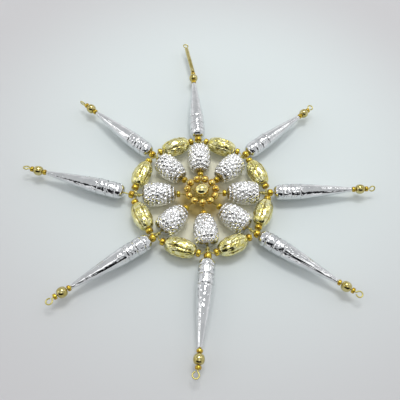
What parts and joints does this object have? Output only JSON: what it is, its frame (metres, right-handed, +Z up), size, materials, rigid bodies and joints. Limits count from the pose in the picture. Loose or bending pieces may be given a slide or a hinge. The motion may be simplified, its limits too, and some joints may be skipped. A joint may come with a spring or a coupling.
{
  "type": "beaded star ornament",
  "caption": "Hanging star ornament of mirrored glass beads: long tapered rays round a ring of bumpy and oval beads, all threaded on a frame of gilt wire.",
  "frame": {"origin": "under the middle of the ornament's box, on the surface that it lies on", "axes": "+Z up from that surface, +Y towards the hanging eye, +X to the right with the eye at the top"},
  "size_m": [0.155, 0.173, 0.0104],
  "materials": {
    "silver_glass": "silvered blown glass, mirror bright",
    "gold_glass": "gold-lined blown glass, mirror bright",
    "amber_seed": "amber glass with a silvered core",
    "gilt_wire": "pale gilt drawn wire"
  },
  "bodies": {
    "wire_frame": {"hub_ring_wire": "gilt_wire", "hub_bead_1": "amber_seed", "hub_bead_2": "amber_seed", "hub_bead_3": "amber_seed", "hub_bead_4": "amber_seed", "hub_bead_5": "amber_seed", "hub_bead_6": "amber_seed", "hub_bead_7": "amber_seed", "hub_bead_8": "amber_seed", "hub_bead_9": "amber_seed", "hub_bead_10": "amber_seed", "hub_bead_11": "amber_seed", "centre_ball": "gold_glass", "centre_binding_wire": "gilt_wire", "cross_wire_1": "gilt_wire", "cross_wire_2": "gilt_wire", "cross_wire_3": "gilt_wire", "cross_wire_4": "gilt_wire", "rim_wire_1": "gilt_wire", "rim_wire_2": "gilt_wire", "rim_wire_3": "gilt_wire", "rim_wire_4": "gilt_wire", "rim_wire_5": "gilt_wire", "rim_wire_6": "gilt_wire", "rim_wire_7": "gilt_wire", "rim_wire_8": "gilt_wire"},
    "berry_bead_1_body": {"berry_bead_1": "silver_glass"},
    "ray_1_body": {"ray_1": "silver_glass"},
    "tip_ball_1_body": {"tip_ball_1": "gold_glass"},
    "hanger_tube_body": {"hanger_tube": "gold_glass"},
    "oval_bead_1_body": {"oval_bead_1": "gold_glass"},
    "berry_bead_2_body": {"berry_bead_2": "silver_glass"},
    "ray_2_body": {"ray_2": "silver_glass"},
    "tip_ball_2_body": {"tip_ball_2": "gold_glass"},
    "oval_bead_2_body": {"oval_bead_2": "gold_glass"},
    "berry_bead_3_body": {"berry_bead_3": "silver_glass"},
    "ray_3_body": {"ray_3": "silver_glass"},
    "tip_ball_3_body": {"tip_ball_3": "gold_glass"},
    "oval_bead_3_body": {"oval_bead_3": "gold_glass"},
    "berry_bead_4_body": {"berry_bead_4": "silver_glass"},
    "ray_4_body": {"ray_4": "silver_glass"},
    "tip_ball_4_body": {"tip_ball_4": "gold_glass"},
    "oval_bead_4_body": {"oval_bead_4": "gold_glass"},
    "berry_bead_5_body": {"berry_bead_5": "silver_glass"},
    "ray_5_body": {"ray_5": "silver_glass"},
    "tip_ball_5_body": {"tip_ball_5": "gold_glass"},
    "oval_bead_5_body": {"oval_bead_5": "gold_glass"},
    "berry_bead_6_body": {"berry_bead_6": "silver_glass"},
    "ray_6_body": {"ray_6": "silver_glass"},
    "tip_ball_6_body": {"tip_ball_6": "gold_glass"},
    "oval_bead_6_body": {"oval_bead_6": "gold_glass"},
    "berry_bead_7_body": {"berry_bead_7": "silver_glass"},
    "ray_7_body": {"ray_7": "silver_glass"},
    "tip_ball_7_body": {"tip_ball_7": "gold_glass"},
    "oval_bead_7_body": {"oval_bead_7": "gold_glass"},
    "berry_bead_8_body": {"berry_bead_8": "silver_glass"},
    "ray_8_body": {"ray_8": "silver_glass"},
    "tip_ball_8_body": {"tip_ball_8": "gold_glass"},
    "oval_bead_8_body": {"oval_bead_8": "gold_glass"}
  },
  "joints": [
    {"name": "berry_bead_1_spin", "type": "hinge", "parent": "wire_frame", "child": "berry_bead_1_body", "pos_m": [-0.00022, 0.00133, 0.00521], "axis": [0.0157, 0.9999, 0], "continuous": true},
    {"name": "ray_1_spin", "type": "hinge", "parent": "wire_frame", "child": "ray_1_body", "pos_m": [0.00006, 0.02162, 0.00521], "axis": [0.0017, 1, 0], "continuous": true},
    {"name": "tip_ball_1_spin", "type": "hinge", "parent": "wire_frame", "child": "tip_ball_1_body", "pos_m": [0.00013, 0.06067, 0.00521], "axis": [0.0017, 1, 0], "continuous": true},
    {"name": "hanger_tube_spin", "type": "hinge", "parent": "wire_frame", "child": "hanger_tube_body", "pos_m": [0.00011, 0.06542, 0.00521], "axis": [-0.1374, 0.9905, 0], "continuous": true},
    {"name": "oval_bead_1_spin", "type": "hinge", "parent": "wire_frame", "child": "oval_bead_1_body", "pos_m": [0.01065, 0.01563, 0.00521], "axis": [-0.9171, 0.3987, 0], "continuous": true},
    {"name": "berry_bead_2_spin", "type": "hinge", "parent": "wire_frame", "child": "berry_bead_2_body", "pos_m": [0.0076, -0.00207, 0.00521], "axis": [0.7206, 0.6934, 0], "continuous": true},
    {"name": "ray_2_spin", "type": "hinge", "parent": "wire_frame", "child": "ray_2_body", "pos_m": [0.02241, 0.01179, 0.00521], "axis": [0.788, 0.6157, 0], "continuous": true},
    {"name": "tip_ball_2_spin", "type": "hinge", "parent": "wire_frame", "child": "tip_ball_2_body", "pos_m": [0.05318, 0.03583, 0.00521], "axis": [0.788, 0.6157, 0], "continuous": true},
    {"name": "oval_bead_2_spin", "type": "hinge", "parent": "wire_frame", "child": "oval_bead_2_body", "pos_m": [0.0254, 0.00032, 0.00521], "axis": [-0.3641, 0.9314, 0], "continuous": true},
    {"name": "berry_bead_3_spin", "type": "hinge", "parent": "wire_frame", "child": "berry_bead_3_body", "pos_m": [0.01069, -0.00999, 0.00521], "axis": [0.9998, -0.0209, 0], "continuous": true},
    {"name": "ray_3_spin", "type": "hinge", "parent": "wire_frame", "child": "ray_3_body", "pos_m": [0.03139, -0.0103, 0.00521], "axis": [0.9998, 0.0209, 0], "continuous": true},
    {"name": "tip_ball_3_spin", "type": "hinge", "parent": "wire_frame", "child": "tip_ball_3_body", "pos_m": [0.07043, -0.00948, 0.00521], "axis": [0.9998, 0.0209, 0], "continuous": true},
    {"name": "oval_bead_3_spin", "type": "hinge", "parent": "wire_frame", "child": "oval_bead_3_body", "pos_m": [0.02517, -0.0204, 0.00521], "axis": [0.3843, 0.9232, 0], "continuous": true},
    {"name": "berry_bead_4_spin", "type": "hinge", "parent": "wire_frame", "child": "berry_bead_4_body", "pos_m": [0.00758, -0.01747, 0.00521], "axis": [0.7193, -0.6947, 0], "continuous": true},
    {"name": "ray_4_spin", "type": "hinge", "parent": "wire_frame", "child": "ray_4_body", "pos_m": [0.0224, -0.03132, 0.00521], "axis": [0.7976, -0.6032, 0], "continuous": true},
    {"name": "tip_ball_4_spin", "type": "hinge", "parent": "wire_frame", "child": "tip_ball_4_body", "pos_m": [0.05355, -0.05488, 0.00521], "axis": [0.7976, -0.6032, 0], "continuous": true},
    {"name": "oval_bead_4_spin", "type": "hinge", "parent": "wire_frame", "child": "oval_bead_4_body", "pos_m": [0.01076, -0.03511, 0.00521], "axis": [0.9153, 0.4027, 0], "continuous": true},
    {"name": "berry_bead_5_spin", "type": "hinge", "parent": "wire_frame", "child": "berry_bead_5_body", "pos_m": [-0.0001, -0.02085, 0.00521], "axis": [0.0262, -0.9997, 0], "continuous": true},
    {"name": "ray_5_spin", "type": "hinge", "parent": "wire_frame", "child": "ray_5_body", "pos_m": [-0.00005, -0.04111, 0.00521], "axis": [-0.1495, -0.9888, 0], "continuous": true},
    {"name": "tip_ball_5_spin", "type": "hinge", "parent": "wire_frame", "child": "tip_ball_5_body", "pos_m": [-0.00588, -0.07972, 0.00521], "axis": [-0.1495, -0.9888, 0], "continuous": true},
    {"name": "oval_bead_5_spin", "type": "hinge", "parent": "wire_frame", "child": "oval_bead_5_body", "pos_m": [-0.01056, -0.03552, 0.00521], "axis": [0.9301, -0.3673, 0], "continuous": true},
    {"name": "berry_bead_6_spin", "type": "hinge", "parent": "wire_frame", "child": "berry_bead_6_body", "pos_m": [-0.00818, -0.01766, 0.00521], "axis": [-0.7022, -0.712, 0], "continuous": true},
    {"name": "ray_6_spin", "type": "hinge", "parent": "wire_frame", "child": "ray_6_body", "pos_m": [-0.02281, -0.03164, 0.00521], "axis": [-0.8425, -0.5388, 0], "continuous": true},
    {"name": "tip_ball_6_spin", "type": "hinge", "parent": "wire_frame", "child": "tip_ball_6_body", "pos_m": [-0.05571, -0.05268, 0.00521], "axis": [-0.8425, -0.5388, 0], "continuous": true},
    {"name": "oval_bead_6_spin", "type": "hinge", "parent": "wire_frame", "child": "oval_bead_6_body", "pos_m": [-0.02589, -0.02056, 0.00521], "axis": [0.3899, -0.9208, 0], "continuous": true},
    {"name": "berry_bead_7_spin", "type": "hinge", "parent": "wire_frame", "child": "berry_bead_7_body", "pos_m": [-0.01148, -0.00986, 0.00521], "axis": [-1, -0.0087, 0], "continuous": true},
    {"name": "ray_7_spin", "type": "hinge", "parent": "wire_frame", "child": "ray_7_body", "pos_m": [-0.03373, -0.00846, 0.00521], "axis": [-0.9483, 0.3173, 0], "continuous": true},
    {"name": "tip_ball_7_spin", "type": "hinge", "parent": "wire_frame", "child": "tip_ball_7_body", "pos_m": [-0.07076, 0.00393, 0.00521], "axis": [-0.9483, 0.3173, 0], "continuous": true},
    {"name": "oval_bead_7_spin", "type": "hinge", "parent": "wire_frame", "child": "oval_bead_7_body", "pos_m": [-0.02593, 0.00095, 0.00521], "axis": [-0.3867, -0.9222, 0], "continuous": true},
    {"name": "berry_bead_8_spin", "type": "hinge", "parent": "wire_frame", "child": "berry_bead_8_body", "pos_m": [-0.0081, -0.00178, 0.00521], "axis": [-0.6947, 0.7193, 0], "continuous": true},
    {"name": "ray_8_spin", "type": "hinge", "parent": "wire_frame", "child": "ray_8_body", "pos_m": [-0.02225, 0.01277, 0.00521], "axis": [-0.7145, 0.6997, 0], "continuous": true},
    {"name": "tip_ball_8_spin", "type": "hinge", "parent": "wire_frame", "child": "tip_ball_8_body", "pos_m": [-0.05015, 0.04009, 0.00521], "axis": [-0.7145, 0.6997, 0], "continuous": true},
    {"name": "oval_bead_8_spin", "type": "hinge", "parent": "wire_frame", "child": "oval_bead_8_body", "pos_m": [-0.01056, 0.01599, 0.00521], "axis": [-0.9301, -0.3673, 0], "continuous": true}
  ]
}
